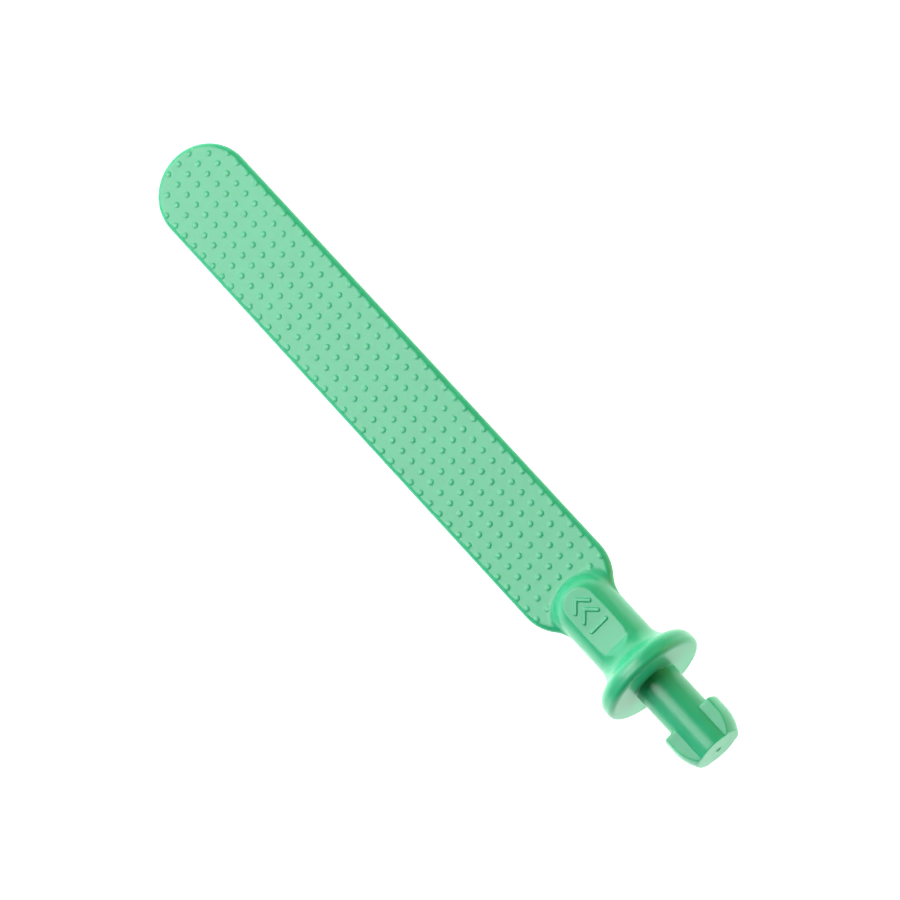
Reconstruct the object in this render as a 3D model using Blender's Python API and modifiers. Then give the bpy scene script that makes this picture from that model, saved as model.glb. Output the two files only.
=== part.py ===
"""Textured tongue blade tip with a bayonet post, for a pen-like therapy handle.

The real tip is one soft plastic moulding. It is modelled as the six regions that a designer would name
(blade, neck, collar, post and two bayonet lugs), which meet face to face and never move against each other.

Frame: metres. The origin is the centre of the post's end face. +X runs along the axis to the blade's tip,
+Z is the side that carries the bumps, and +Y makes it right-handed.
"""

import math

import bmesh
import bpy
from mathutils import Matrix, Vector

MM = 0.001

# Lengths along X, from the post's end face.
SHOULDER_X = 6.75 * MM  # the lugs' flat shoulders, which the handle's bayonet pulls on
SEAT_X = 15.75 * MM  # the collar's flat seat, which closes the handle's mouth
TIP_X = 141.6 * MM

# Round sections.
POST_R = 4.0 * MM
HEAD_R = 5.68 * MM
HEAD_END_R = 4.35 * MM
HEAD_TAPER_X = 4.4 * MM  # from here the head narrows to its end
LUG_FLAT_Z = 2.95 * MM  # the head is cut flat at this height on both sides
COLLAR_R = 9.53 * MM
COLLAR_EDGE_R = 0.95 * MM  # rounding of the collar's edge at the seat
COLLAR_ROUND_R = 2.2 * MM  # rounding of the collar's blade side
COLLAR_ROUND_X = SEAT_X + 1.67 * MM  # centre of that rounding
NECK_R = 5.45 * MM
FLARE_R = 4.0 * MM  # fillet from the neck into the collar
DOME_X = 32.85 * MM  # centre of the neck's ball-shaped end
PAD_Z = 4.55 * MM  # height of the flat pad on the neck's textured side
PAD_START_X = 23.5 * MM
PAD_RAMP = 0.7  # rise per run of the ramp from the pad's end up to the flare
PAD_CUT_TOP = NECK_R + 0.5 * MM  # just clear of the flare where the ramp comes out of it

# The blade: a plate with two semicircular ends and a full-round edge.
BLADE_WIDTH = 17.4 * MM
BLADE_THICKNESS = 2.0 * MM
BLADE_REAR_X = 39.2 * MM  # centre of the semicircle at the neck
ROOT_FILLET_R = 6.0 * MM  # where the blade's outline runs into the neck
SPLIT_X = 38.65 * MM  # plane between the blade's region and the neck's, between two rows of bumps

# The bumps: low, flat-topped buttons on a square grid in line with the axis.
BUMP_PITCH = 2.5 * MM
BUMP_R = 0.6 * MM
BUMP_TOP_R = 0.45 * MM
BUMP_HEIGHT = 0.13 * MM
BUMP_ROOT = 0.3 * MM  # how far a bump's solid reaches into the plate
BUMP_SIDES = 6
FULL_COLUMNS = 3  # columns on each side of the middle one
BUMP_ROWS = 42
TIP_ROW_X = 139.9 * MM
TIP_ROW_COLUMNS = (1, 2)  # the first two rows are shorter, to follow the round end
ROOT_ROW_INNER = 2  # the last row leaves the middle to the neck

ROUND_STEPS = 48
ARC_POINTS = 7
EDGE_RESOLUTION = 2
BLADE_ARC_POINTS = 20
GREEN = (0.17, 0.62, 0.37, 1.0)
ROUGHNESS = 0.42
SHARP_ANGLE = math.radians(35)
WELD = 1e-7

HALF_WIDTH = BLADE_WIDTH / 2
EDGE_R = BLADE_THICKNESS / 2
TIP_CENTRE_X = TIP_X - HALF_WIDTH


def clear_scene():
    for old in list(bpy.data.objects):
        bpy.data.objects.remove(old, do_unlink=True)


def collection(name):
    made = bpy.data.collections.new(name)
    bpy.context.scene.collection.children.link(made)
    return made


def soft_green(name):
    made = bpy.data.materials.new(name)
    made.use_nodes = True
    shader = made.node_tree.nodes["Principled BSDF"]
    shader.inputs["Base Color"].default_value = GREEN
    shader.inputs["Roughness"].default_value = ROUGHNESS
    shader.inputs["Metallic"].default_value = 0.0
    return made


def as_cutter(obj):
    """Mark an object as a tool that shapes others and isn't part of the object."""
    obj.hide_render = True
    obj.display_type = "WIRE"
    return obj


def new_object(name, mesh, into):
    made = bpy.data.objects.new(name, mesh)
    into.objects.link(made)
    return made


def arc(centre, radius, start_deg, end_deg, points=ARC_POINTS):
    """Points on a circle in the plane of (x, second coordinate), angles from +X."""
    found = []
    for i in range(points):
        angle = math.radians(start_deg + (end_deg - start_deg) * i / (points - 1))
        found.append((centre[0] + radius * math.cos(angle), centre[1] + radius * math.sin(angle)))
    return found


def turned(name, profile, into):
    """A solid of revolution about X. The profile is (x, radius) from high x to low x, axis to axis."""
    mesh = bpy.data.meshes.new(name)
    # The profile is drawn as for a shaft standing on Z, and the object is laid along X afterwards.
    points = [(radius, 0.0, x) for x, radius in profile]
    edges = [(i, i + 1) for i in range(len(points) - 1)]
    mesh.from_pydata(points, edges, [])
    made = new_object(name, mesh, into)
    screw = made.modifiers.new("Turn", "SCREW")
    screw.axis = "Z"
    screw.steps = ROUND_STEPS
    screw.render_steps = ROUND_STEPS
    screw.use_merge_vertices = True
    screw.merge_threshold = WELD
    screw.use_smooth_shade = True
    made.rotation_euler = (0.0, math.pi / 2, 0.0)
    return made


def boolean(obj, operation, other):
    step = obj.modifiers.new(operation.title() + " " + other.name, "BOOLEAN")
    step.operation = operation
    step.object = other
    step.solver = "EXACT"
    return step


def box(name, low, high, into):
    mesh = bpy.data.meshes.new(name)
    made = bmesh.new()
    bmesh.ops.create_cube(made, size=1.0)
    low, high = Vector(low), Vector(high)
    size = high - low
    place = Matrix.Translation((low + high) / 2) @ Matrix.Diagonal((*size, 1.0))
    bmesh.ops.transform(made, matrix=place, verts=made.verts)
    made.to_mesh(mesh)
    made.free()
    return new_object(name, mesh, into)


def across(name, outline, half_width, into):
    """A prism along Y. The outline is (x, z), counter-clockwise as seen from -Y."""
    mesh = bpy.data.meshes.new(name)
    made = bmesh.new()
    near = [made.verts.new((x, -half_width, z)) for x, z in outline]
    far = [made.verts.new((x, half_width, z)) for x, z in outline]
    made.faces.new(near)
    made.faces.new(far[::-1])
    for i in range(len(outline)):
        made.faces.new((near[i - 1], far[i - 1], far[i], near[i]))
    bmesh.ops.recalc_face_normals(made, faces=made.faces)
    made.to_mesh(mesh)
    made.free()
    return new_object(name, mesh, into)


def plate(name, outline, into):
    """A plate with a full-round edge: the outline is the middle of that edge's roundness."""
    curve = bpy.data.curves.new(name, "CURVE")
    curve.dimensions = "2D"
    curve.fill_mode = "BOTH"
    curve.extrude = 0.0
    curve.bevel_depth = EDGE_R
    curve.bevel_resolution = EDGE_RESOLUTION
    spline = curve.splines.new("POLY")
    spline.points.add(len(outline) - 1)
    for point, (x, y) in zip(spline.points, outline, strict=True):
        point.co = (x, y, 0.0, 1.0)
    spline.use_cyclic_u = True
    drawn = new_object(name + "_outline", curve, into)
    shape = drawn.evaluated_get(bpy.context.evaluated_depsgraph_get())
    mesh = bpy.data.meshes.new_from_object(shape)
    bpy.data.objects.remove(drawn, do_unlink=True)
    welded = bmesh.new()
    welded.from_mesh(mesh)
    bmesh.ops.remove_doubles(welded, verts=welded.verts, dist=WELD)
    bmesh.ops.recalc_face_normals(welded, faces=welded.faces)
    welded.to_mesh(mesh)
    welded.free()
    mesh.materials.clear()
    return new_object(name, mesh, into)


def mirrored_outline(half):
    """Close an outline from its half with y above 0, given from high x to low x."""
    other = [(x, -y) for x, y in reversed(half) if y > WELD]
    return half + other


def blade_outline():
    """The blade from its tip to the split plane, inset by the edge's radius."""
    inset = HALF_WIDTH - EDGE_R
    tip = arc((TIP_CENTRE_X, 0.0), inset, 0, 90, BLADE_ARC_POINTS)
    # The far corners lie past the split plane, where a box cuts them away.
    return mirrored_outline([*tip, (SPLIT_X - BLADE_THICKNESS, inset)])


def root_outline():
    """The blade's rear semicircle running into the neck through a fillet, inset by the edge's radius."""
    rear_r = HALF_WIDTH
    fillet_y = NECK_R + ROOT_FILLET_R
    reach = math.sqrt((rear_r + ROOT_FILLET_R) ** 2 - fillet_y**2)
    fillet_centre = (BLADE_REAR_X - reach, fillet_y)
    meet_deg = math.degrees(math.atan2(fillet_y, -reach))
    rear = arc((BLADE_REAR_X, 0.0), rear_r - EDGE_R, 90, meet_deg, BLADE_ARC_POINTS // 2)
    fillet = arc(fillet_centre, ROOT_FILLET_R + EDGE_R, meet_deg - 180, -90, BLADE_ARC_POINTS // 2)
    front = (SPLIT_X + BLADE_THICKNESS, rear_r - EDGE_R)
    back = (DOME_X - NECK_R, NECK_R - EDGE_R)
    return mirrored_outline([front, *rear, *fillet[1:], back])


def bump_places():
    """(x, y) of every bump, row by row from the tip."""
    places = []
    for row in range(BUMP_ROWS):
        reach = TIP_ROW_COLUMNS[row] if row < len(TIP_ROW_COLUMNS) else FULL_COLUMNS
        inner = ROOT_ROW_INNER if row == BUMP_ROWS - 1 else 0
        for column in range(-reach, reach + 1):
            if abs(column) >= inner:
                places.append((TIP_ROW_X - row * BUMP_PITCH, column * BUMP_PITCH))
    return places


def bumps(name, places, into):
    """Low faceted buttons that reach a little way into the plate below them."""
    mesh = bpy.data.meshes.new(name)
    made = bmesh.new()
    slope = (BUMP_R - BUMP_TOP_R) / BUMP_HEIGHT
    for x, y in places:
        bmesh.ops.create_cone(
            made,
            cap_ends=True,
            segments=BUMP_SIDES,
            radius1=BUMP_R + slope * BUMP_ROOT,
            radius2=BUMP_TOP_R,
            depth=BUMP_HEIGHT + BUMP_ROOT,
            matrix=Matrix.Translation((x, y, EDGE_R + (BUMP_HEIGHT - BUMP_ROOT) / 2)),
        )
    made.to_mesh(mesh)
    made.free()
    return as_cutter(new_object(name, mesh, into))


def collar_join():
    """Where the collar's rounding meets the neck's flare with one tangent: (x, radius), flare centre."""
    rise = NECK_R + FLARE_R - (COLLAR_R - COLLAR_ROUND_R)
    between = COLLAR_ROUND_R + FLARE_R
    run = math.sqrt(between**2 - rise**2)
    share = COLLAR_ROUND_R / between
    join = (COLLAR_ROUND_X + share * run, COLLAR_R - COLLAR_ROUND_R + share * rise)
    flare_centre = (COLLAR_ROUND_X + run, NECK_R + FLARE_R)
    lean_deg = math.degrees(math.atan2(rise, run))
    return join, flare_centre, lean_deg


def make_post(parts):
    """The post, from its end face through the collar to the neck."""
    root_x = collar_join()[0][0]
    profile = [(root_x, 0.0), (root_x, POST_R), (0.0, POST_R), (0.0, 0.0)]
    return turned("post", profile, parts)


def make_collar(parts):
    """The collar around the post: flat seat, small edge rounding, large rounding to the neck."""
    join, _, lean_deg = collar_join()
    crown = arc((COLLAR_ROUND_X, COLLAR_R - COLLAR_ROUND_R), COLLAR_ROUND_R, lean_deg, 90)
    edge = arc((SEAT_X + COLLAR_EDGE_R, COLLAR_R - COLLAR_EDGE_R), COLLAR_EDGE_R, 90, 180, 5)
    profile = [(join[0], POST_R), *crown, *edge, (SEAT_X, POST_R), (join[0], POST_R)]
    return turned("collar", profile, parts)


def pad_cut_outline():
    """(x, z) of what is cut away above the flat pad and the ramp at its collar end."""
    ramp_run = (PAD_CUT_TOP - PAD_Z) / PAD_RAMP
    past_x = SPLIT_X + HALF_WIDTH
    ramp = [(PAD_START_X - ramp_run, PAD_CUT_TOP), (PAD_START_X, PAD_Z)]
    return [*ramp, (past_x, PAD_Z), (past_x, PAD_CUT_TOP)]


def make_neck(parts, tools):
    """The round neck with its flare, ball-shaped end, flat pad and the blade's root."""
    join, flare_centre, lean_deg = collar_join()
    dome = arc((DOME_X, 0.0), NECK_R, 0, 90, 2 * ARC_POINTS)
    flare = arc(flare_centre, FLARE_R, 270, 180 + lean_deg)
    neck = turned("neck", [*dome, *flare, (join[0], 0.0)], parts)

    root = as_cutter(plate("blade_root", root_outline(), tools))
    boolean(neck, "UNION", root)
    row = [place for place in bump_places() if place[0] < SPLIT_X]
    boolean(neck, "UNION", bumps("root_bumps", row, tools))

    far = (SPLIT_X + HALF_WIDTH, HALF_WIDTH, HALF_WIDTH)
    past_split = box("past_split", (SPLIT_X, -HALF_WIDTH, -HALF_WIDTH), far, tools)
    boolean(neck, "DIFFERENCE", as_cutter(past_split))
    above_pad = across("above_pad", pad_cut_outline(), HALF_WIDTH, tools)
    boolean(neck, "DIFFERENCE", as_cutter(above_pad))
    return neck


def make_blade(parts, tools):
    """The flat blade with its field of bumps."""
    blade = plate("blade", blade_outline(), parts)
    field = [place for place in bump_places() if place[0] > SPLIT_X]
    boolean(blade, "UNION", bumps("blade_bumps", field, tools))
    low = (SPLIT_X - HALF_WIDTH, -BLADE_WIDTH, -HALF_WIDTH)
    before_split = box("before_split", low, (SPLIT_X, BLADE_WIDTH, HALF_WIDTH), tools)
    boolean(blade, "DIFFERENCE", as_cutter(before_split))
    return blade


def head_profile():
    """Half section of the bayonet head: a barrel that narrows in one arc to its end."""
    drop = HEAD_R - HEAD_END_R
    bow_r = (HEAD_TAPER_X**2 + drop**2) / (2 * drop)
    end_deg = 180 - math.degrees(math.atan2(bow_r - drop, HEAD_TAPER_X))
    side = arc((HEAD_TAPER_X, HEAD_R - bow_r), bow_r, 90, end_deg)
    return [(SHOULDER_X, 0.0), (SHOULDER_X, HEAD_R), *side[:-1], (0.0, HEAD_END_R), (0.0, 0.0)]


def make_lug(name, side, post, parts, tools):
    """One bayonet lug: the head's barrel on one side of the post, cut flat above and below."""
    lug = turned(name, head_profile(), parts)
    low_y, high_y = sorted((0.0, side * 2 * HEAD_R))
    low = (-MM, low_y, -LUG_FLAT_Z)
    keep = box(name + "_keep", low, (SHOULDER_X + MM, high_y, LUG_FLAT_Z), tools)
    boolean(lug, "INTERSECT", as_cutter(keep))
    boolean(lug, "DIFFERENCE", post)
    return lug


def finish(obj):
    obj.data.materials.append(soft_green(obj.name + "_plastic"))
    return obj


def main():
    clear_scene()
    parts = collection("tongue_blade_tip")
    tools = collection("tools")
    post = make_post(parts)
    made = [post, make_collar(parts), make_neck(parts, tools), make_blade(parts, tools)]
    made.append(make_lug("lug_left", 1, post, parts, tools))
    made.append(make_lug("lug_right", -1, post, parts, tools))
    for obj in made:
        finish(obj)


main()
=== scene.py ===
import math

import bmesh
import bpy
import numpy as np
from mathutils import Matrix, Vector
from mathutils.geometry import delaunay_2d_cdt


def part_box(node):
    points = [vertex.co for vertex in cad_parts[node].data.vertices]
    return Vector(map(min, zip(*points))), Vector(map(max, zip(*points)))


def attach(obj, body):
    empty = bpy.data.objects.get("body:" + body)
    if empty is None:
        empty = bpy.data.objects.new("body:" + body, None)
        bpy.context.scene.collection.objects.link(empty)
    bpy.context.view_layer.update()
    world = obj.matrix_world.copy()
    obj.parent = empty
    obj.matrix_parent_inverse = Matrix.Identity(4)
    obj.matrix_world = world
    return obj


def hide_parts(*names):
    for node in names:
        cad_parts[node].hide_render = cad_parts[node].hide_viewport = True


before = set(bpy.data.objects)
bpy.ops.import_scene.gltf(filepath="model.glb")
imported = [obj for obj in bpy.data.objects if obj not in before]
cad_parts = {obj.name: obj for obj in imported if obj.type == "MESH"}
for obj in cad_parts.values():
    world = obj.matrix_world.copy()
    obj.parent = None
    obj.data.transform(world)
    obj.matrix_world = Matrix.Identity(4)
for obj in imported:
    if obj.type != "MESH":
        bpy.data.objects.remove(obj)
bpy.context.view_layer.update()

# Looks of a textured tongue blade tip: one seamless moulding in soft, slightly translucent green plastic.
#
# Shapes are worked out in millimetres in the part's own frame and go out in metres. The frame's origin is
# the middle of the post's end face, +X runs to the blade's tip, and +Z is the side with the bumps.

MM = 0.001


def node_box(name):
    """A CAD node's lowest and highest corners, in millimetres."""
    low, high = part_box(name)
    return np.array(low) / MM, np.array(high) / MM


_, POST_HIGH = node_box("post")
COLLAR_LOW, COLLAR_HIGH = node_box("collar")
_, LUG_HIGH = node_box("lug_left")
BLADE_LOW, BLADE_HIGH = node_box("blade")

# Sizes that the frame gives.
POST_R = POST_HIGH[1]
HEAD_R = LUG_HIGH[1]
LUG_FLAT_Z = LUG_HIGH[2]
SHOULDER_X = LUG_HIGH[0]
SEAT_X = COLLAR_LOW[0]
COLLAR_R = COLLAR_HIGH[2]
TIP_X = BLADE_HIGH[0]
HALF_WIDTH = BLADE_HIGH[1]
EDGE_R = -BLADE_LOW[2]
TIP_CENTRE_X = TIP_X - HALF_WIDTH

# Sizes that part.py holds too.
HEAD_END_R = 4.35
HEAD_TAPER_X = 4.4
COLLAR_EDGE_R = 0.95
COLLAR_ROUND_R = 2.2
COLLAR_ROUND_X = SEAT_X + 1.67
NECK_R = 5.45
FLARE_R = 4.0
DOME_X = 32.85
PAD_Z = 4.55
PAD_START_X = 23.5
PAD_RAMP = 0.7
BLADE_REAR_X = 39.2
ROOT_FILLET_R = 6.0
BUMP_PITCH = 2.5
BUMP_R = 0.6
BUMP_ROWS = 42
FULL_COLUMNS = 3  # bumps on either side of the middle one
TIP_ROW_COLUMNS = (1, 2)
TIP_ROW_X = 139.9
ROOT_ROW_INNER = 2  # the last row has no bump nearer the middle than this column

# Roundings of the moulding.
LUG_EDGE_R = 0.22
END_EDGE_R = 0.12
POST_ROOT_R = 0.12
CORNER_SOFTNESS = 0.15
ROOT_CORNER_SHARE = 0.6  # of that softness, where a lug's flat meets the post
PAD_SOFTNESS = 0.12
PAD_RAMP_FROM_X = 21.3  # the pad's cut starts here, where its ramp has come out of the flare
PAD_DISH = 0.005  # the pad curves up to its end, per mm squared
PAD_DISH_X = 29.0  # the pad is lowest here
PAD_LEAN = 0.015  # and rises slightly to the blade
BUMP_HEIGHT_SHARE = 0.62  # of the CAD's bump, because a softened button is lower
BUMP_HEIGHT = BUMP_HEIGHT_SHARE * (BLADE_HIGH[2] - EDGE_R)
BUMP_EDGE = 0.34  # how far the soft edge reaches inside BUMP_R
BUMP_SOFT = 0.08  # and outside it
BUMP_DOMING = 0.03
ROOT_BLEND = 1.7  # softness of the crease between neck and blade, at the neck's sides
ROOT_BLEND_LEAST = 0.38  # its share over the middle of the neck
ROOT_BLEND_FROM = 0.35  # share of the neck's radius from which it grows
ROOT_BLEND_DEPTH = 1.6  # how far in from the outline it is whole

# The gate's stub in a dimple in the end face, from the middle out. A shape holds shares of the stub's or
# the dimple's radius, and of the dimple's depth.
DIMPLE_R = 0.55
DIMPLE_DEPTH = 0.16
GATE_R = 0.22
STUB_SHAPE = ((0.5, 0.35), (0.85, 0.4), (1.0, 0.6), (1.15, 0.95))
DIMPLE_SHAPE = ((0.7, 1.0), (0.88, 0.75), (1.0, 0.25), (1.15, 0.0), (1.4, 0.0))
END_FLAT_R = (2.2, 3.2)

# A plain mark on the pad: two chevrons that point to the blade's tip, over a bar.
MARK_HALF_W = 1.6
MARK_STROKE = 0.3
MARK_EDGE = 0.07
MARK_HEIGHT = 0.15
MARK_X = (26.2, 35.0)  # the finely meshed stretch round it
MARK_MARGIN = 0.5
CHEVRONS = (33.9, 31.7)
CHEVRON_DROP = 1.7
MARK_BAR_X = 28.0

# Mesh densities, and the limits of what is worked out by steps.
CUT_X = 24.3  # the turned stem's mesh ends here, and the blade's begins
ROOT_END_X = 41.5  # past here the blade is flat between its bumps
NECK_STEP = 0.2
FIRST_STEP = 0.7  # share of a step between the cut and the first row of the grid
MARK_STEP = 0.07
EDGE_STEP = 0.5
EDGE_LOOPS = 10
EDGE_LOOP_DEG = 3.75  # of the neck's round, for each loop's depth
BUMP_SIDES = 16
BUMP_RINGS = (0.2, 0.34, 0.4, 0.45, 0.5, 0.55, 0.6, 0.66, 0.76)
HALVINGS = 40
ABOVE_NECK = 0.5
TINY = 1e-6
WELD_M = 1e-6

# Numbers of points on the blade's outline.
TIP_POINTS = 45
REAR_POINTS = 20
FILLET_POINTS = 20
NECK_POINTS = 16

# Numbers of points along the stem, and round a section of it.
END_EDGE_POINTS = 6
BARREL_POINTS = 16
LUG_EDGE_POINTS = 5
SHOULDER_INSETS = (0.5, 0.9, 1.3)
POST_POINTS = 12
POST_ROOT_POINTS = 6
SEAT_POINTS = 8
COLLAR_EDGE_POINTS = 11
RIM_POINTS = 5
CROWN_POINTS = 18
FLARE_POINTS = 26
STEM_NECK_POINTS = 8
ROUND_POINTS = 9
LUG_FLAT_POINTS = 4
CORNER_DEG = 2.2

# Least distances between one set of mesh points and another.
CUT_CLEAR = 0.02
LOOP_BUMP_CLEAR = 0.03
GRID_BUMP_CLEAR = 0.08
GRID_LOOP_CLEAR = 0.12
BACK_LOOP_CLEAR = 0.4
POST_START_CLEAR = 0.12


def smooth_max(a, b, softness):
    """The larger of two values, with the crease between them rounded over a height of softness."""
    near = np.maximum(softness - np.abs(a - b), 0.0)
    return np.maximum(a, b) + near**2 / (4 * softness)


def smooth_min(a, b, softness):
    """The smaller of two values, with the crease between them rounded in the same way."""
    return -smooth_max(-a, -b, softness)


def smooth_step(low, high, value):
    """0 below low, 1 above high, and an even S between them."""
    t = np.clip((value - low) / (high - low), 0.0, 1.0)
    return t * t * (3 - 2 * t)


def arc(centre, radius, start_deg, end_deg, count):
    """Points on a circle as an array of (x, second coordinate)."""
    turn = np.radians(np.linspace(start_deg, end_deg, count))
    return np.stack([centre[0] + radius * np.cos(turn), centre[1] + radius * np.sin(turn)], -1)


def along(start_x, end_x, level, count):
    """Points on a line along X as an array of (x, second coordinate)."""
    return np.column_stack([np.linspace(start_x, end_x, count), np.full(count, level)])


# ---------------------------------------------------------------- the blade's outline and heights

FILLET_Y = NECK_R + ROOT_FILLET_R
FILLET_X = BLADE_REAR_X - math.sqrt((HALF_WIDTH + ROOT_FILLET_R) ** 2 - FILLET_Y**2)
MEET_DEG = math.degrees(math.atan2(FILLET_Y, FILLET_X - BLADE_REAR_X))


def outline_half(inset):
    """One side of the blade's outline, where y is 0 or more, from tip to cut, moved inwards by inset."""
    radius = HALF_WIDTH - inset
    side_steps = round((TIP_CENTRE_X - BLADE_REAR_X) / EDGE_STEP)
    return np.concatenate([
        arc((TIP_CENTRE_X, 0.0), radius, 0, 90, TIP_POINTS),
        along(TIP_CENTRE_X, BLADE_REAR_X, radius, side_steps + 1)[1:-1],
        arc((BLADE_REAR_X, 0.0), radius, 90, MEET_DEG, REAR_POINTS),
        arc((FILLET_X, FILLET_Y), ROOT_FILLET_R + inset, MEET_DEG - 180, -90, FILLET_POINTS)[1:],
        along(FILLET_X, CUT_X, NECK_R - inset, NECK_POINTS)[1:],
    ])


def depth_inside(x, y):
    """Distance from the blade's outline, inwards."""
    y = np.abs(y)
    depth = HALF_WIDTH - y
    tip = x > TIP_CENTRE_X
    depth = np.where(tip, HALF_WIDTH - np.hypot(x - TIP_CENTRE_X, y), depth)
    rear = x < BLADE_REAR_X
    depth = np.where(rear, HALF_WIDTH - np.hypot(x - BLADE_REAR_X, y), depth)
    lean = np.degrees(np.arctan2(y - FILLET_Y, x - FILLET_X))
    in_fillet = rear & (lean >= -90) & (lean <= MEET_DEG - 180)
    depth = np.where(in_fillet, np.hypot(x - FILLET_X, y - FILLET_Y) - ROOT_FILLET_R, depth)
    return np.where(x < FILLET_X, NECK_R - y, depth)


def moulding_distance(x, y, z, depth):
    """Below zero inside the blade and the round neck, which melt into each other inside the outline."""
    edge = EDGE_R - np.minimum(depth, EDGE_R)
    plate = np.where(depth >= EDGE_R, np.abs(z) - EDGE_R, np.hypot(edge, z) - EDGE_R)
    across = np.where(x > DOME_X, np.hypot(x - DOME_X, y), np.abs(y))
    neck = np.hypot(across, z) - NECK_R
    beside = smooth_step(ROOT_BLEND_FROM, 1.0, np.abs(y) / NECK_R)
    share = ROOT_BLEND_LEAST + (1 - ROOT_BLEND_LEAST) * beside
    softness = ROOT_BLEND * share * smooth_step(0.0, ROOT_BLEND_DEPTH, depth)
    return smooth_min(plate, neck, np.maximum(softness, TINY))


def base_height(x, y):
    """Height of the plain moulding above its middle plane, found by halving."""
    depth = depth_inside(x, y)
    low = np.zeros(len(x))
    high = np.full(len(x), NECK_R + ABOVE_NECK)
    for _ in range(HALVINGS):
        middle = (low + high) / 2
        inside = moulding_distance(x, y, middle, depth) < 0
        low = np.where(inside, middle, low)
        high = np.where(inside, high, middle)
    return np.where(depth < TINY, 0.0, low)


def pad_height(x):
    """The flat pad, and the short ramp that ends it before the collar."""
    run = np.maximum(x, PAD_START_X) - PAD_DISH_X
    hollow = PAD_DISH * np.minimum(run, 0.0) ** 2 + PAD_LEAN * np.maximum(run, 0.0)
    return PAD_Z + hollow + np.maximum(PAD_START_X - x, 0.0) * PAD_RAMP


ROW_REACH = np.full(BUMP_ROWS, FULL_COLUMNS)
ROW_REACH[: len(TIP_ROW_COLUMNS)] = TIP_ROW_COLUMNS


def bump_places():
    """(x, y) of every bump, row by row from the tip."""
    places = []
    for row, reach in enumerate(ROW_REACH):
        inner = ROOT_ROW_INNER if row == BUMP_ROWS - 1 else 0
        for column in range(-reach, reach + 1):
            if abs(column) >= inner:
                places.append((TIP_ROW_X - row * BUMP_PITCH, column * BUMP_PITCH))
    return np.array(places)


BUMPS = bump_places()


def from_bump(x, y):
    """Distance from the middle of the nearest bump, or one pitch where the last row has no bump."""
    row = np.clip(np.round((TIP_ROW_X - x) / BUMP_PITCH), 0, BUMP_ROWS - 1).astype(int)
    column = np.clip(np.round(y / BUMP_PITCH), -ROW_REACH[row], ROW_REACH[row])
    missing = (row == BUMP_ROWS - 1) & (np.abs(column) < ROOT_ROW_INNER)
    gap = np.hypot(x - (TIP_ROW_X - row * BUMP_PITCH), y - column * BUMP_PITCH)
    return np.where(missing, BUMP_PITCH, gap)


def bump_rise(distance):
    """A low, nearly flat-topped button with a soft edge."""
    top = BUMP_HEIGHT - BUMP_DOMING * (distance / BUMP_R) ** 2
    return top * (1 - smooth_step(BUMP_R - BUMP_EDGE, BUMP_R + BUMP_SOFT, distance))


def stroke_distance(x, y, start, end):
    """Distance from a straight stroke."""
    run = np.array(end) - np.array(start)
    share = ((x - start[0]) * run[0] + (y - start[1]) * run[1]) / (run @ run)
    share = np.clip(share, 0.0, 1.0)
    return np.hypot(x - start[0] - share * run[0], y - start[1] - share * run[1])


def mark_rise(x, y):
    """Height of the mark over the pad."""
    found = stroke_distance(x, y, (MARK_BAR_X, -MARK_HALF_W), (MARK_BAR_X, MARK_HALF_W))
    for peak in CHEVRONS:
        for side in (-1, 1):
            foot = (peak - CHEVRON_DROP, side * MARK_HALF_W)
            found = np.minimum(found, stroke_distance(x, y, (peak, 0.0), foot))
    return MARK_HEIGHT * (1 - smooth_step(MARK_STROKE - MARK_EDGE, MARK_STROKE + MARK_EDGE, found))


def top_height(x, y):
    """The textured side, with the pad cut into the neck, the bumps and the mark."""
    height = smooth_min(base_height(x, y), pad_height(x), PAD_SOFTNESS)
    height = np.where(depth_inside(x, y) < TINY, 0.0, height)
    return height + bump_rise(from_bump(x, y)) + mark_rise(x, y)


def bottom_height(x, y):
    """The plain side."""
    return -base_height(x, y)


# ---------------------------------------------------------------- meshes


def loop_depths():
    """Depths of the loops that follow the outline: the neck's even angles seen from above."""
    turn = np.radians(EDGE_LOOP_DEG * np.arange(1, EDGE_LOOPS + 1))
    return NECK_R * (1 - np.cos(turn))


class Sheet:
    """Points and fixed edges of one side of the blade, which a Delaunay net then fills."""

    def __init__(self):
        self.points = []
        self.edges = []

    def add(self, points):
        """Adds loose points."""
        self.points.extend(map(tuple, points))

    def add_ring(self, points):
        """Adds a closed ring of points and edges."""
        first = len(self.points)
        count = len(points)
        self.add(points)
        self.edges.extend((first + i, first + (i + 1) % count) for i in range(count))

    def add_kept(self, points, kept):
        """Adds the kept points of a line, with an edge wherever two kept ones follow each other."""
        last = None
        for point, keep in zip(points, kept, strict=True):
            if keep:
                self.points.append(tuple(point))
                here = len(self.points) - 1
                if last is not None:
                    self.edges.append((last, here))
                last = here
            else:
                last = None

    def triangles(self, border_count):
        """The net's triangles inside the border, which is the first border_count points."""
        vectors = [Vector((x, y)) for x, y in self.points]
        found = delaunay_2d_cdt(vectors, self.edges, [], 1, TINY, True)
        verts, faces, sources = found[0], found[2], found[3]
        if len(verts) != len(self.points):
            raise RuntimeError(f"the net made {len(verts) - len(self.points)} points of its own")
        index = [source[0] for source in sources]
        border = np.array(self.points[:border_count])
        kept = []
        for face in faces:
            own = [index[i] for i in face]
            if max(own) >= border_count or encloses(border, np.mean(border[own], axis=0)):
                kept.append(own)
        return kept


def encloses(border, point):
    """Whether a border goes round a point: a ray from the point crosses it an odd number of times."""
    after = np.roll(border, -1, axis=0)
    crosses = (border[:, 1] > point[1]) != (after[:, 1] > point[1])
    start, end = border[crosses], after[crosses]
    share = (point[1] - start[:, 1]) / (end[:, 1] - start[:, 1])
    reach = start[:, 0] + share * (end[:, 0] - start[:, 0])
    return np.count_nonzero(reach > point[0]) % 2 == 1


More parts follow.
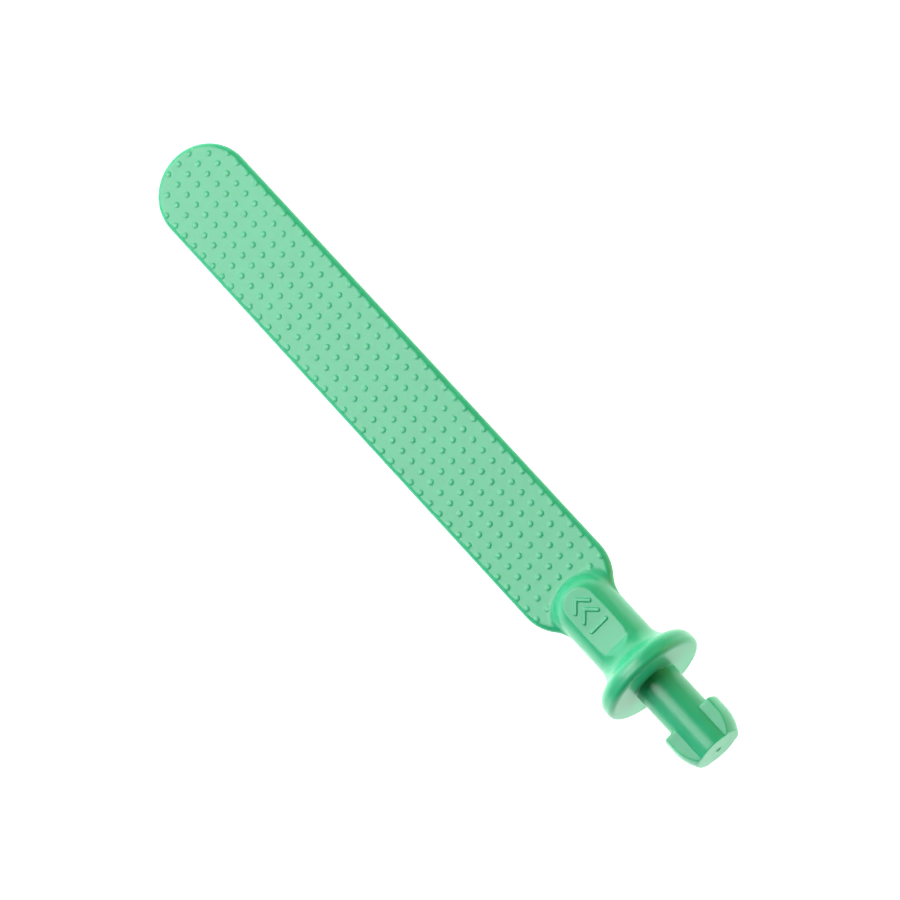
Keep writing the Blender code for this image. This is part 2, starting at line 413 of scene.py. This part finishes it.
def clear_of_bumps(points, margin):
    """Which points lie outside every bump's rings, by a margin."""
    return from_bump(points[:, 0], points[:, 1]) > BUMP_RINGS[-1] + margin


def grid(low_x, high_x, half_y, step):
    """Staggered points, in rows a step apart."""
    found = []
    for i, x in enumerate(np.arange(low_x, high_x, step)):
        start = -half_y + (step / 2 if i % 2 else 0.0)
        found.extend((x, y) for y in np.arange(start, half_y, step))
    return np.array(found)


def in_mark(points):
    """Which points lie in the mark's finely meshed stretch."""
    inside = (points[:, 0] > MARK_X[0]) & (points[:, 0] < MARK_X[1])
    return inside & (np.abs(points[:, 1]) < MARK_HALF_W + MARK_MARGIN)


def blade_side(cut_y, top):
    """Vertices and faces of the textured or the plain side, from the cut to the tip."""
    sheet = Sheet()
    mirror = np.array([1.0, -1.0])
    half = outline_half(0.0)
    cut = np.column_stack([np.full(len(cut_y), CUT_X), cut_y])
    border = np.concatenate([cut, half[:-1][::-1], half[1:-1] * mirror])
    sheet.add_ring(border)

    loops = loop_depths()
    for depth in loops:
        line = outline_half(depth)
        line = line[line[:, 0] > CUT_X + CUT_CLEAR]
        both = np.concatenate([line[::-1], line[1:] * mirror])
        keep = clear_of_bumps(both, LOOP_BUMP_CLEAR) if top else np.full(len(both), True)
        sheet.add_kept(both, keep)

    inner = loops[-1] + GRID_LOOP_CLEAR
    step = NECK_STEP if top else 2 * NECK_STEP
    rough = grid(CUT_X + NECK_STEP * FIRST_STEP, ROOT_END_X, HALF_WIDTH, step)
    keep = depth_inside(rough[:, 0], rough[:, 1]) > inner
    if top:
        keep &= clear_of_bumps(rough, GRID_BUMP_CLEAR) & ~in_mark(rough)
        sheet.add(grid(MARK_X[0] + MARK_STEP / 2, MARK_X[1], MARK_HALF_W + MARK_MARGIN, MARK_STEP))
    sheet.add(rough[keep])

    if top:
        turn = np.arange(BUMP_SIDES) * 2 * math.pi / BUMP_SIDES
        for x, y in BUMPS:
            for radius in reversed(BUMP_RINGS):
                sheet.add_ring(np.stack([x + radius * np.cos(turn), y + radius * np.sin(turn)], -1))
            sheet.add([(x, y)])
    else:
        plain = grid(ROOT_END_X, TIP_X, HALF_WIDTH, BUMP_PITCH)
        sheet.add(plain[depth_inside(plain[:, 0], plain[:, 1]) > inner + BACK_LOOP_CLEAR])

    flat = np.array(sheet.points)
    height_at = top_height if top else bottom_height
    height = height_at(flat[:, 0], flat[:, 1])
    height[len(cut_y):len(border)] = 0.0
    return np.column_stack([flat, height]), sheet.triangles(len(border))


# ---------------------------------------------------------------- the turned stem


def spread(low, high, count):
    return list(np.linspace(low, high, count))


def all_round(quarter):
    """A quarter's angles, mirrored to go all round."""
    turn = np.concatenate([quarter, math.pi - quarter[-2::-1]])
    return np.concatenate([turn, 2 * math.pi - turn[-2:0:-1]])


def section_angles(barrel_r):
    """Angles from the Y axis all round, gathered at the corners of a lug's section."""
    outer = math.degrees(math.asin(LUG_FLAT_Z / barrel_r))
    inner = math.degrees(math.asin(LUG_FLAT_Z / POST_R))
    near = min(CORNER_DEG, (inner - outer) / 4)
    angles = spread(0, outer - near, ROUND_POINTS)
    angles += [outer - near / 2, outer, outer + near / 2]
    angles += spread(outer + near, inner - near, LUG_FLAT_POINTS)
    angles += [inner - near / 2, inner, inner + near / 2]
    angles += spread(inner + near, 90, ROUND_POINTS)
    return all_round(np.radians(angles))


ROUND_ANGLES = section_angles(HEAD_R)


def section(barrel_r, flat_z, turn):
    """Closed section of the bayonet head: (y, z) all round."""
    flat = flat_z / np.maximum(np.abs(np.sin(turn)), TINY)
    radius = smooth_min(np.full(len(turn), barrel_r), flat, CORNER_SOFTNESS)
    radius = smooth_max(radius, np.full(len(turn), POST_R), CORNER_SOFTNESS * ROOT_CORNER_SHARE)
    return np.stack([radius * np.cos(turn), radius * np.sin(turn)], -1)


def round_section(radius):
    """Closed circle, with its points at the same angles as a section of the head."""
    return np.stack([radius * np.cos(ROUND_ANGLES), radius * np.sin(ROUND_ANGLES)], -1)


def barrel_radius(x):
    """The head's outer radius: a barrel that narrows in one arc to its end."""
    drop = HEAD_R - HEAD_END_R
    bow_r = (HEAD_TAPER_X**2 + drop**2) / (2 * drop)
    run = max(HEAD_TAPER_X - x, 0.0)
    return HEAD_R - bow_r + math.sqrt(bow_r**2 - run**2)


def quarter_turn(count):
    return np.radians(np.linspace(0, 90, count))


def end_rings():
    """The end face from its middle out: the gate's stub, its dimple and the flat."""
    profile = [(GATE_R * out, DIMPLE_DEPTH * deep) for out, deep in STUB_SHAPE]
    profile += [(DIMPLE_R * out, DIMPLE_DEPTH * deep) for out, deep in DIMPLE_SHAPE]
    profile += [(radius, 0.0) for radius in END_FLAT_R]
    return [(x, round_section(radius)) for radius, x in profile]


def head_rings():
    """The bayonet head: its rounded end edge, its barrel, the lugs' edge and the shoulder to the post."""
    made = []
    for turn in quarter_turn(END_EDGE_POINTS):
        x = END_EDGE_R * (1 - math.cos(turn))
        scale = 1 - END_EDGE_R * (1 - math.sin(turn)) / HEAD_END_R
        radius = barrel_radius(x)
        made.append((x, section(radius, LUG_FLAT_Z, section_angles(radius)) * scale))
    for x in np.linspace(END_EDGE_R, SHOULDER_X - LUG_EDGE_R, BARREL_POINTS)[1:]:
        radius = barrel_radius(x)
        made.append((x, section(radius, LUG_FLAT_Z, section_angles(radius))))
    for turn in quarter_turn(LUG_EDGE_POINTS)[1:]:
        x = SHOULDER_X - LUG_EDGE_R * (1 - math.sin(turn))
        inset = LUG_EDGE_R * (1 - math.cos(turn))
        made.append((x, section(HEAD_R - inset, LUG_FLAT_Z - inset, ROUND_ANGLES)))
    for inset in SHOULDER_INSETS:
        made.append((SHOULDER_X, section(HEAD_R - inset, LUG_FLAT_Z - inset, ROUND_ANGLES)))
    made.append((SHOULDER_X, round_section(POST_R)))
    return made


def stem_profile():
    """(x, radius) of the post, the collar and the neck's flare, up to the cut."""
    rise = NECK_R + FLARE_R - (COLLAR_R - COLLAR_ROUND_R)
    run = math.sqrt((COLLAR_ROUND_R + FLARE_R) ** 2 - rise**2)
    lean = math.degrees(math.atan2(rise, run))
    edge_x = SEAT_X + COLLAR_EDGE_R
    edge_r = COLLAR_R - COLLAR_EDGE_R
    root_x = SEAT_X - POST_ROOT_R
    root_r = POST_R + POST_ROOT_R
    flare_x = COLLAR_ROUND_X + run
    seat_r = np.linspace(root_r, edge_r, SEAT_POINTS)[1:-1]
    crown_centre = (COLLAR_ROUND_X, COLLAR_R - COLLAR_ROUND_R)
    return np.concatenate([
        along(SHOULDER_X + POST_START_CLEAR, root_x, POST_R, POST_POINTS),
        arc((root_x, root_r), POST_ROOT_R, 270, 360, POST_ROOT_POINTS)[1:],
        np.column_stack([np.full(len(seat_r), SEAT_X), seat_r]),
        arc((edge_x, edge_r), COLLAR_EDGE_R, 180, 90, COLLAR_EDGE_POINTS),
        along(edge_x, COLLAR_ROUND_X, COLLAR_R, RIM_POINTS)[1:-1],
        arc(crown_centre, COLLAR_ROUND_R, 90, lean, CROWN_POINTS),
        arc((flare_x, NECK_R + FLARE_R), FLARE_R, 180 + lean, 270, FLARE_POINTS)[1:],
        along(flare_x, CUT_X, NECK_R, STEM_NECK_POINTS)[1:],
    ])


def stem_rings():
    """(x, section) of the whole stem from its end face's middle, with the pad's ramp cut into the neck."""
    rings = end_rings() + head_rings()
    for x, radius in stem_profile():
        ring = round_section(radius)
        upper = smooth_min(ring[:, 1], pad_height(np.full(len(ring), x)), PAD_SOFTNESS)
        on_neck = x > PAD_RAMP_FROM_X
        ring[:, 1] = np.where(on_neck & (ring[:, 1] > 0), upper, ring[:, 1])
        rings.append((x, ring))
    return rings


def loft(rings):
    """Quads between one ring and the next, and a fan over the first ring's middle."""
    verts = [(rings[0][0], 0.0, 0.0)]
    faces = []
    count = len(rings[0][1])
    for x, ring in rings:
        verts.extend((x, y, z) for y, z in ring)
    for j in range(count):
        faces.append((0, 1 + (j + 1) % count, 1 + j))
    for i in range(len(rings) - 1):
        here, there = 1 + i * count, 1 + (i + 1) * count
        for j in range(count):
            k = (j + 1) % count
            faces.append((here + j, here + k, there + k, there + j))
    return np.array(verts), faces


def build_moulding():
    """The whole tip as one closed mesh: the turned stem, and the blade's two sides."""
    made = bmesh.new()

    def put(verts, faces, flip=False):
        points = [made.verts.new(Vector(v) * MM) for v in verts]
        for face in faces:
            made.faces.new([points[i] for i in (face[::-1] if flip else face)])

    rings = stem_rings()
    put(*loft(rings))
    last = rings[-1][1]
    cut_y = np.sort(last[last[:, 1] > -TINY, 0])
    put(*blade_side(cut_y, True))
    put(*blade_side(cut_y, False), flip=True)
    bmesh.ops.remove_doubles(made, verts=made.verts, dist=WELD_M)
    bmesh.ops.dissolve_degenerate(made, dist=WELD_M / 10, edges=made.edges)
    bmesh.ops.recalc_face_normals(made, faces=made.faces)
    mesh = bpy.data.meshes.new("moulded_tip")
    made.to_mesh(mesh)
    made.free()
    mesh.shade_smooth()
    tip = bpy.data.objects.new("moulded_tip", mesh)
    bpy.context.scene.collection.objects.link(tip)
    normals = tip.modifiers.new("Even normals", "WEIGHTED_NORMAL")
    normals.weight = 60
    return tip


# ---------------------------------------------------------------- material

DEEP_GREEN = (0.024, 0.43, 0.202, 1)
PALE_GREEN = (0.032, 0.46, 0.224, 1)
TINT_FROM, TINT_TO = 0.3, 0.7
CLOUD_SCALE, CLOUD_DETAIL = 260.0, 4.0
GRAIN_SCALE, GRAIN_DETAIL = 5200.0, 2.0
GRAIN_STRENGTH = 0.25
GRAIN_DEPTH_M = 0.00003
SMOOTHEST, ROUGHEST = 0.28, 0.34
LIGHT_REACH_M = 0.0007  # how far light travels inside, times the share for each colour
LIGHT_REACH_RGB = (0.6, 1.6, 0.9)
TRANSLUCENCY = 0.6


def soft_plastic():
    """Soft green plastic: satin, a little see-through, faintly uneven in colour and gloss."""
    made = bpy.data.materials.new("soft_green_plastic")
    made.use_nodes = True
    nodes, links = made.node_tree.nodes, made.node_tree.links
    shader = nodes["Principled BSDF"]
    shader.inputs["Subsurface Weight"].default_value = TRANSLUCENCY
    shader.inputs["Subsurface Radius"].default_value = LIGHT_REACH_RGB
    shader.inputs["Subsurface Scale"].default_value = LIGHT_REACH_M
    shader.inputs["IOR"].default_value = 1.5
    shader.inputs["Specular IOR Level"].default_value = 0.5
    place = nodes.new("ShaderNodeTexCoord")

    def noise(scale, detail):
        made_noise = nodes.new("ShaderNodeTexNoise")
        made_noise.inputs["Scale"].default_value = scale
        made_noise.inputs["Detail"].default_value = detail
        links.new(place.outputs["Object"], made_noise.inputs["Vector"])
        return made_noise.outputs["Fac"]

    cloud = noise(CLOUD_SCALE, CLOUD_DETAIL)
    tint = nodes.new("ShaderNodeValToRGB")
    deep, pale = tint.color_ramp.elements
    deep.position, deep.color = TINT_FROM, DEEP_GREEN
    pale.position, pale.color = TINT_TO, PALE_GREEN
    links.new(cloud, tint.inputs["Fac"])
    links.new(tint.outputs["Color"], shader.inputs["Base Color"])

    gloss = nodes.new("ShaderNodeMapRange")
    gloss.inputs["To Min"].default_value = SMOOTHEST
    gloss.inputs["To Max"].default_value = ROUGHEST
    links.new(cloud, gloss.inputs["Value"])
    links.new(gloss.outputs["Result"], shader.inputs["Roughness"])

    bump = nodes.new("ShaderNodeBump")
    bump.inputs["Strength"].default_value = GRAIN_STRENGTH
    bump.inputs["Distance"].default_value = GRAIN_DEPTH_M
    links.new(noise(GRAIN_SCALE, GRAIN_DETAIL), bump.inputs["Height"])
    links.new(bump.outputs["Normal"], shader.inputs["Normal"])
    return made


# ---------------------------------------------------------------- camera, floor and light

WHITE = (1.0, 1.0, 1.0)
VIEW_TARGET = Vector((69.34, -0.9, 0.0)) * MM
VIEW_FROM = Vector((-0.3308, -0.12411, 0.9355)).normalized()
VIEW_UP = Vector((0.69397, -0.70377, 0.15202))
VIEW_DISTANCE = 1.0985
LENS = 264.3
SENSOR = 36.0
VIEW_NEAR, VIEW_FAR = 0.01, 50.0
FLOOR_HALF = 20.0
FLOOR_GREY = (0.5, 0.5, 0.5, 1)
FLOOR_ROUGHNESS = 0.8
FLOOR_GLOW = 1.55
ROOM_STRENGTH = 0.03
BACKDROP_STRENGTH = 1.0
LIGHT_UP = Vector((0.0, 1.0, 0.1))

# Each softbox's name, place and size in metres, power in watts, and colour.
SOFTBOXES = (
    ("key", (0.55, 0.25, 0.95), (0.7, 0.78), 12.0, WHITE),
    ("tip_side", (1.05, 0.1, 0.38), (1.05, 1.2), 9.0, WHITE),
    ("left_wall", (0.7, 1.0, 0.24), (1.5, 0.5), 2.5, WHITE),
    ("right_wall", (0.5, -0.95, 0.45), (1.3, 0.8), 1.6, (1.0, 0.9, 0.5)),
    ("warm_side", (-0.3, -0.95, 0.25), (0.6, 0.4), 3.0, (1.0, 0.6, 0.12)),
)


def look(position, target, up):
    """World matrix of something at position that looks at target."""
    back = (position - target).normalized()
    right = up.cross(back).normalized()
    over = back.cross(right)
    turned = Matrix((right, over, back)).transposed().to_4x4()
    turned.translation = position
    return turned


def make_camera():
    lens = bpy.data.cameras.new("camera")
    lens.lens = LENS
    lens.sensor_width = SENSOR
    lens.clip_start = VIEW_NEAR
    lens.clip_end = VIEW_FAR
    camera = bpy.data.objects.new("camera", lens)
    camera.matrix_world = look(VIEW_TARGET + VIEW_FROM * VIEW_DISTANCE, VIEW_TARGET, VIEW_UP)
    bpy.context.scene.collection.objects.link(camera)
    bpy.context.scene.camera = camera


def make_floor():
    """A level, bright floor under the collar's rim."""
    mesh = bpy.data.meshes.new("floor")
    made = bmesh.new()
    bmesh.ops.create_grid(made, x_segments=1, y_segments=1, size=FLOOR_HALF)
    made.to_mesh(mesh)
    made.free()
    floor = bpy.data.objects.new("floor", mesh)
    bpy.context.scene.collection.objects.link(floor)
    floor.location = (0.0, 0.0, -COLLAR_R * MM)
    paint = bpy.data.materials.new("floor_paint")
    paint.use_nodes = True
    shader = paint.node_tree.nodes["Principled BSDF"]
    shader.inputs["Base Color"].default_value = FLOOR_GREY
    shader.inputs["Roughness"].default_value = FLOOR_ROUGHNESS
    shader.inputs["Emission Color"].default_value = (*WHITE, 1)
    shader.inputs["Emission Strength"].default_value = FLOOR_GLOW
    floor.data.materials.append(paint)


def softbox(name, position, size, power, colour):
    """A square-cornered area light that faces the middle of the view."""
    lamp = bpy.data.lights.new(name, "AREA")
    lamp.shape = "RECTANGLE"
    lamp.size, lamp.size_y = size
    lamp.energy = power
    lamp.color = colour
    lit = bpy.data.objects.new(name, lamp)
    lit.matrix_world = look(Vector(position), VIEW_TARGET, LIGHT_UP)
    bpy.context.scene.collection.objects.link(lit)


def white_background(background, strength):
    background.inputs["Color"].default_value = (*WHITE, 1)
    background.inputs["Strength"].default_value = strength
    return background.outputs["Background"]


def make_light():
    """The softboxes, and a room that gives next to no light but looks white past the floor's edge."""
    world = bpy.data.worlds.new("studio")
    bpy.context.scene.world = world
    world.use_nodes = True
    nodes, links = world.node_tree.nodes, world.node_tree.links
    room = white_background(nodes["Background"], ROOM_STRENGTH)
    backdrop = white_background(nodes.new("ShaderNodeBackground"), BACKDROP_STRENGTH)
    seen = nodes.new("ShaderNodeLightPath")
    either = nodes.new("ShaderNodeMixShader")
    links.new(seen.outputs["Is Camera Ray"], either.inputs["Fac"])
    links.new(room, either.inputs[1])
    links.new(backdrop, either.inputs[2])
    links.new(either.outputs["Shader"], nodes["World Output"].inputs["Surface"])
    for box in SOFTBOXES:
        softbox(*box)
    bpy.context.scene.view_settings.view_transform = "Standard"


tip = build_moulding()
tip.data.materials.append(soft_plastic())
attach(tip, "root")
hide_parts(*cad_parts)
make_camera()
make_floor()
make_light()
